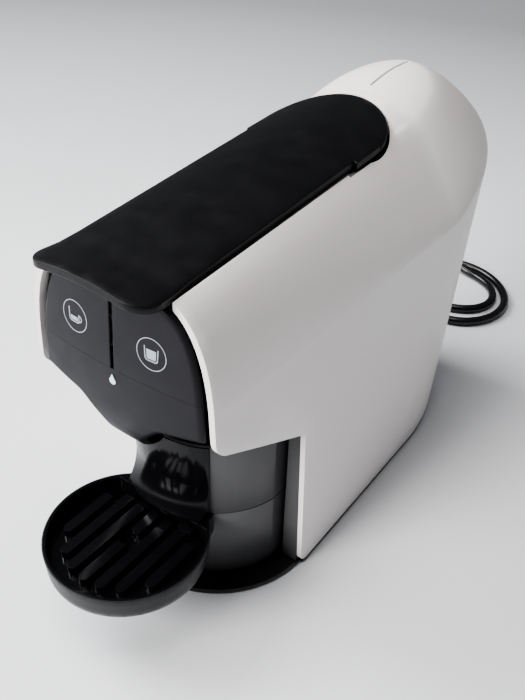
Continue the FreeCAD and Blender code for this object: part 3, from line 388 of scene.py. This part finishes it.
def edge_distance(x, z):
    """Distance of a point from the panel's outline."""
    a, b = EDGE_ARRAY[:-1], EDGE_ARRAY[1:]
    point = np.array((abs(x), z))
    run = b - a
    run_squared = np.maximum((run ** 2).sum(1), 1e-9)
    t = np.clip(((point - a) * run).sum(1) / run_squared, 0, 1)
    return float(np.sqrt((((a + run * t[:, None]) - point) ** 2).sum(1)).min())


def rolled(distance, radius):
    """How far a rounded edge has fallen back at this distance from it."""
    if distance >= radius:
        return 0.0
    return radius - math.sqrt(max(0.0, radius ** 2 - (radius - distance) ** 2))


def skin_point(x, z, lift=0.0):
    """Point of the panel's face, raised by lift towards the front."""
    depth = face_depth(x, z) + rolled(edge_distance(x, z), EDGE_ROLL)
    if z > SEAM_Z + KEY_GAP / 2:
        depth += rolled(abs(x) - GROOVE_HALF, KEY_ROLL)
    return m(x, depth - lift, z)


def add_skin(name, rows, thick):
    """Closed skin of the panel over rows of points, all rows equally long."""
    mesh = bpy.data.meshes.new(name)
    columns = len(rows[0])
    faces = []
    for i in range(len(rows) - 1):
        for j in range(columns - 1):
            k = i * columns + j
            faces.append((k, k + 1, k + columns + 1, k + columns))
    mesh.from_pydata([p for row in rows for p in row], [], faces)
    build = bmesh.new()
    build.from_mesh(mesh)
    bmesh.ops.remove_doubles(build, verts=build.verts, dist=MERGE)
    build.to_mesh(mesh)
    build.free()
    smooth(mesh)
    mesh.materials.append(PANEL)
    piece = add_object(name, mesh)
    shell = piece.modifiers.new("thickness", "SOLIDIFY")
    shell.thickness = thick * MM
    shell.offset = -1.0
    crease = piece.modifiers.new("rim", "EDGE_SPLIT")
    crease.split_angle = math.radians(RIM_ANGLE)
    return piece


def add_panel():
    """Fascia and two keys: one continuous face with a groove between the keys."""
    shares = [1 - (1 - i / ACROSS) ** CROWDING for i in range(ACROSS + 1)]
    both = [-share for share in shares[:0:-1]] + shares
    seam = (next(p.x for p in EDGE if p.y >= SEAM_Z), SEAM_Z)
    low = [(p.x, p.y) for p in EDGE if p.y < SEAM_Z - SEAM_CLEAR] + [seam]
    levels = [low[0]] + [here for last, here in zip(low, low[1:]) if here[1] - last[1] > LEVEL_GAP]
    rows = [[skin_point(share * half, z) for share in both] for half, z in levels]
    fascia = add_skin("fascia_skin", rows, FASCIA_THICK)
    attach(fascia, "housing")
    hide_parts("front_fascia")
    upper = [seam] + [(p.x, p.y) for p in EDGE if p.y > SEAM_Z + SEAM_CLEAR]
    inner = [GROOVE_HALF + ROLL_STEP * k for k in range(ROLL_POINTS)]
    for side, name, body in ((-1, "left", "left_key"), (1, "right", "right_key")):
        rows = []
        for half, z in upper:
            outer = [inner[-1] + (half - inner[-1]) * share for share in shares[1:]]
            row = [skin_point(side * x, max(z, SEAM_Z + KEY_GAP)) for x in inner + outer]
            rows.append(row if side > 0 else row[::-1])
        key = add_skin(name + "_key_skin", rows, KEY_THICK)
        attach(key, body)
        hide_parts("key_" + name)


add_panel()

# ---- key icons -----------------------------------------------------------------------
PRINT_LIFT, PRINT_THICK = 0.07, 0.05
RING_WIDTH, LINE_WIDTH = 0.42, 0.6
ICON_X, ICON_Z, ICON_R = 24.3, 187.0, 8.3
RING_STEPS, HANDLE_STEPS = 64, 12
HANDLE_X, HANDLE_Z, HANDLE_R = 3.0, -0.5, 1.7
# Outlines and fillings as (x, z) from the icon's centre.
CUP = [(-3.9, 3.9), (-3.7, -1.9), (-3.3, -2.8), (-2.6, -3.1), (1.8, -3.1), (2.5, -2.8),
       (2.9, -1.9), (3.0, 1.6)]
CUP_DRINK = [(-2.9, -0.2), (-2.8, -2.3), (2.0, -2.3), (2.1, -0.2)]
GLASS = [(-3.9, 3.6), (-3.5, -2.6), (-3.1, -3.3), (-2.4, -3.6), (2.4, -3.6), (3.1, -3.3),
         (3.5, -2.6), (3.9, 3.6)]
GLASS_DRINK = [(-2.8, 2.3), (-2.5, -2.7), (2.5, -2.7), (2.8, 2.3)]


def ribbon(points, width, closed=False):
    """Corners and faces of a thin printed line along (x, z) points."""
    count = len(points)
    sides = []
    for i, point in enumerate(points):
        before = points[i - 1] if closed or i else point
        after = points[(i + 1) % count] if closed or i < count - 1 else point
        run = (Vector(after) - Vector(before)).normalized()
        sides.append(Vector((-run.y, run.x)) * width / 2)
    verts = []
    for point, side in zip(points, sides):
        verts += [Vector(point) + side, Vector(point) - side]
    last = count if closed else count - 1
    faces = []
    for i in range(last):
        following = 2 * ((i + 1) % count)
        faces.append((2 * i, 2 * i + 1, following + 1, following))
    return verts, faces


def arc_points(x, z, radius, start, end, count):
    return [(x + radius * math.cos(start + (end - start) * i / count),
             z + radius * math.sin(start + (end - start) * i / count)) for i in range(count + 1)]


def ring(x):
    """Thin circle round an icon."""
    points = arc_points(x, ICON_Z, ICON_R, 0, 2 * math.pi, RING_STEPS)[:-1]
    return ribbon(points, RING_WIDTH, True)


def placed(points, x):
    return [(x + a, ICON_Z + b) for a, b in points]


def filling(points, x):
    """One printed face."""
    return placed(points, x), [(0, 1, 2, 3)]


def add_print(name, parts, body):
    """Printed marks lying on a key."""
    verts, faces = [], []
    for part_verts, part_faces in parts:
        base = len(verts)
        verts += part_verts
        faces += [tuple(base + k for k in face) for face in part_faces]
    mesh = bpy.data.meshes.new(name)
    mesh.from_pydata([skin_point(v[0], v[1], PRINT_LIFT) for v in verts], [], faces)
    mesh.materials.append(PRINT)
    piece = add_object(name, mesh)
    shell = piece.modifiers.new("ink", "SOLIDIFY")
    shell.thickness = PRINT_THICK * MM
    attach(piece, body)


def add_icons():
    """Small cup on the left key, filled tumbler on the right key, each in a thin circle."""
    cup = ribbon(placed(CUP, -ICON_X), LINE_WIDTH)
    handle = ribbon(arc_points(-ICON_X + HANDLE_X, ICON_Z + HANDLE_Z, HANDLE_R, -math.pi / 2,
                               math.pi / 2, HANDLE_STEPS), LINE_WIDTH)
    add_print("small_cup_print", [ring(-ICON_X), cup, handle, filling(CUP_DRINK, -ICON_X)],
              "left_key")
    glass = ribbon(placed(GLASS, ICON_X), LINE_WIDTH)
    add_print("tumbler_print", [ring(ICON_X), glass, filling(GLASS_DRINK, ICON_X)], "right_key")


add_icons()

# ---- softened edges of the moulded parts ---------------------------------------------
SOFT_SEGMENTS = 2
SOFT_ANGLE = 35                       # degrees; flatter edges are left alone
# Width of the rounding, mm.
SOFT_EDGES = {
    "hood": 1.1, "lid": 0.9, "cup_tray": 0.7, "drip_grid": 1.4, "drip_drawer": 0.5,
    "capsule_container": 0.4, "container_front": 0.5, "base_plate": 0.6, "column_frame": 0.5,
    "tank_lid": 0.8, "water_tank": 0.6,
}


def soften(name, width):
    """Rounds the sharp edges of a CAD part for the eye."""
    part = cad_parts[name]
    weld = part.modifiers.new("weld", "WELD")
    weld.merge_threshold = MERGE
    edge = part.modifiers.new("edges", "BEVEL")
    edge.width = width * MM
    edge.segments = SOFT_SEGMENTS
    edge.limit_method = "ANGLE"
    edge.angle_limit = math.radians(SOFT_ANGLE)
    edge.harden_normals = True


for soft_name, soft_width in SOFT_EDGES.items():
    soften(soft_name, soft_width)

# ---- mains cord ----------------------------------------------------------------------
CORD_R = 3.5
LYING_Z = 3.6                         # centre of the cord where it lies on the table
CROSSING_Z = LYING_Z + 8.6            # and where it crosses over itself
GLAND_X, GLAND_END, GLAND_Z = -53.0, 319.0, 14.0
COIL_X, COIL_DISTANCE, COIL_R = -112.0, 405.0, 36.0
COIL_TURNS, TURN_STEPS = 2.25, 16
COIL_LIFT = 7.15                      # height of the second turn over the first
LIFT_FROM, LIFT_OVER = 10, 12         # steps of the coil before the rise, and on it
PLUG_Z, PLUG_REAR = 18.1, 334.0
# (x, distance, z) from the gland round the loop on the table, over itself and to the coil.
RUN = [
    (GLAND_X, GLAND_END, GLAND_Z), (GLAND_X, GLAND_END + 14, GLAND_Z),
    (GLAND_X + 4, GLAND_END + 31, LYING_Z + 3.2),
    (-36, 364, LYING_Z), (-17, 371, LYING_Z), (4, 371, LYING_Z), (24, 375, LYING_Z),
    (39, 388, LYING_Z), (47, 407, LYING_Z), (46, 428, LYING_Z), (36, 447, LYING_Z),
    (19, 461, LYING_Z), (-2, 468, LYING_Z), (-22, 466, LYING_Z), (-39, 455, LYING_Z),
    (-48, 438, LYING_Z), (-46, 418, LYING_Z), (-35, 402, LYING_Z), (-19, 393, LYING_Z),
    (-2, 390, LYING_Z), (14, 393, LYING_Z), (27, 402, LYING_Z), (34, 416, LYING_Z),
    (33, 431, LYING_Z), (25, 444, LYING_Z), (11, 453, LYING_Z), (-8, 457, LYING_Z + 0.8),
    (-28, 458, CROSSING_Z), (-52, 456, CROSSING_Z), (-72, 450, LYING_Z + 1.6),
    (-92, COIL_DISTANCE + COIL_R + 1.5, LYING_Z),
]
# (distance, z) from the coil up to the plug.
TAIL = [(391, 8.5), (376, 11.5), (361, 16.5), (346, PLUG_Z), (PLUG_REAR, PLUG_Z)]


def cord_route():
    """Control points in metres: gland, floor loop, crossing, coil, plug."""
    radius = COIL_R / math.cos(math.pi / TURN_STEPS) ** 0.5
    coil = []
    for i in range(int(COIL_TURNS * TURN_STEPS) + 1):
        angle = math.pi / 2 + 2 * math.pi * i / TURN_STEPS
        rise = COIL_LIFT * min(1.0, max(0.0, (i - LIFT_FROM) / LIFT_OVER))
        coil.append((COIL_X + radius * math.cos(angle), COIL_DISTANCE + radius * math.sin(angle),
                     LYING_Z + rise))
    tail = [(COIL_X - COIL_R, distance, height) for distance, height in TAIL]
    return [m(*p) for p in RUN + coil + tail]


def spline_length(curve):
    """Length of the evaluated centreline."""
    copy = curve.copy()
    copy.data = curve.data.copy()
    copy.data.bevel_depth = 0
    bpy.context.scene.collection.objects.link(copy)
    bpy.context.view_layer.update()
    mesh = copy.to_mesh()
    points = [v.co.copy() for v in mesh.vertices]
    total = sum((b - a).length for a, b in zip(points, points[1:]))
    copy.to_mesh_clear()
    bpy.data.objects.remove(copy)
    return total


def add_cord():
    """One round lead from the gland to the plug."""
    route = cord_route()
    data = bpy.data.curves.new("mains_cord", "CURVE")
    data.dimensions = "3D"
    spline = data.splines.new("NURBS")
    spline.points.add(len(route) - 1)
    for point, place in zip(spline.points, route):
        point.co = (*place, 1)
    spline.order_u = 3
    spline.use_endpoint_u = True
    spline.resolution_u = 6
    data.bevel_depth = CORD_R * MM
    data.bevel_resolution = 6
    data.use_fill_caps = True
    cord = add_object("mains_cord", data)
    data.materials.append(CORD)
    length = spline_length(cord)
    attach(cord, "housing")
    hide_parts("cord", "cord_coil", "cord_tail")


add_cord()

# ---- room and light ------------------------------------------------------------------
# Lengths of the room and places of the lights are in metres.
FLOOR_RINGS = (0.0, 1.2, 2.4)         # radii of the rings of points on the flat floor
FLOOR_R, BEND_R, WALL_TOP = 3.4, 1.2, 5.0
BEND_STEPS, AROUND = 12, 72
# The floor darkens between these distances from a point in front of the machine: painted shade
# where the light falls off away from the machine.
FADE_CENTRE, FADE_START, FADE_END = (0.0, -0.2, 0.0), 0.42, 1.35
# Painted shade colour of the far floor and wall, and its roughness.
FAR_PAINTED_SHADE, FAR_ROUGH = (0.30, 0.305, 0.32), 0.6
# Name, place, target, two sides, power in watts and colour of each light.
LIGHTS = [
    ("window_front", (-0.8, -2.4, 1.55), (0, 0, 0.05), 1.3, 1.1, 122, (1.0, 0.99, 0.975)),
    ("window_left", (-2.0, -0.45, 2.0), (0, 0, 0.1), 1.5, 1.2, 82, (0.97, 0.985, 1.0)),
    ("ceiling_soft", (-0.3, -0.3, 2.5), (0, 0, 0), 1.4, 1.4, 36, (1.0, 0.985, 0.96)),
]
ROOM_COLOR, ROOM_STRENGTH = (0.86, 0.88, 0.92, 1), 0.2


def add_room():
    """Pale seamless floor that curves up into a wall far out on every side, darkened further out
    by painted shade.
    """
    profile = [(reach, 0.0) for reach in FLOOR_RINGS]
    for i in range(BEND_STEPS + 1):
        angle = math.pi / 2 * i / BEND_STEPS
        profile.append((FLOOR_R + BEND_R * math.sin(angle), BEND_R - BEND_R * math.cos(angle)))
    profile.append((FLOOR_R + BEND_R, WALL_TOP))
    verts = []
    for reach, height in profile:
        for k in range(AROUND):
            angle = 2 * math.pi * k / AROUND
            verts.append((reach * math.cos(angle), reach * math.sin(angle), height))
    faces = []
    for i in range(len(profile) - 1):
        for k in range(AROUND):
            a, b = i * AROUND + k, i * AROUND + (k + 1) % AROUND
            faces.append((a, b, b + AROUND, a + AROUND))
    mesh = bpy.data.meshes.new("floor")
    mesh.from_pydata(verts, [], faces)
    smooth(mesh)
    floor = add_object("floor", mesh)
    paint = moulded("floor_with_painted_shade", (0.74, 0.75, 0.775), (0.76, 0.77, 0.795), 0.42, 0.55,
                    grain=300, bump=0.02, patch=3.0)
    # Painted shade: the floor and wall darken away from the machine.
    mesh.materials.append(change_with_reach(paint, FADE_CENTRE, FADE_START, FADE_END,
                                            FAR_PAINTED_SHADE, FAR_ROUGH))


def add_light(name, place, target, size, size_y, energy, color):
    data = bpy.data.lights.new(name, "AREA")
    data.shape = "RECTANGLE"
    data.size = size
    data.size_y = size_y
    data.energy = energy
    data.color = color
    light = add_object(name, data)
    light.location = place
    light.rotation_euler = (Vector(target) - Vector(place)).to_track_quat("-Z", "Y").to_euler()


def add_surroundings():
    """Weak light from all sides, and a contrast that keeps the dark parts dark."""
    world = bpy.data.worlds.new("room")
    bpy.context.scene.world = world
    world.use_nodes = True
    sky = world.node_tree.nodes["Background"]
    sky.inputs["Color"].default_value = ROOM_COLOR
    sky.inputs["Strength"].default_value = ROOM_STRENGTH
    bpy.context.scene.view_settings.look = "AgX - Medium High Contrast"


add_room()
for light in LIGHTS:
    add_light(*light)
add_surroundings()
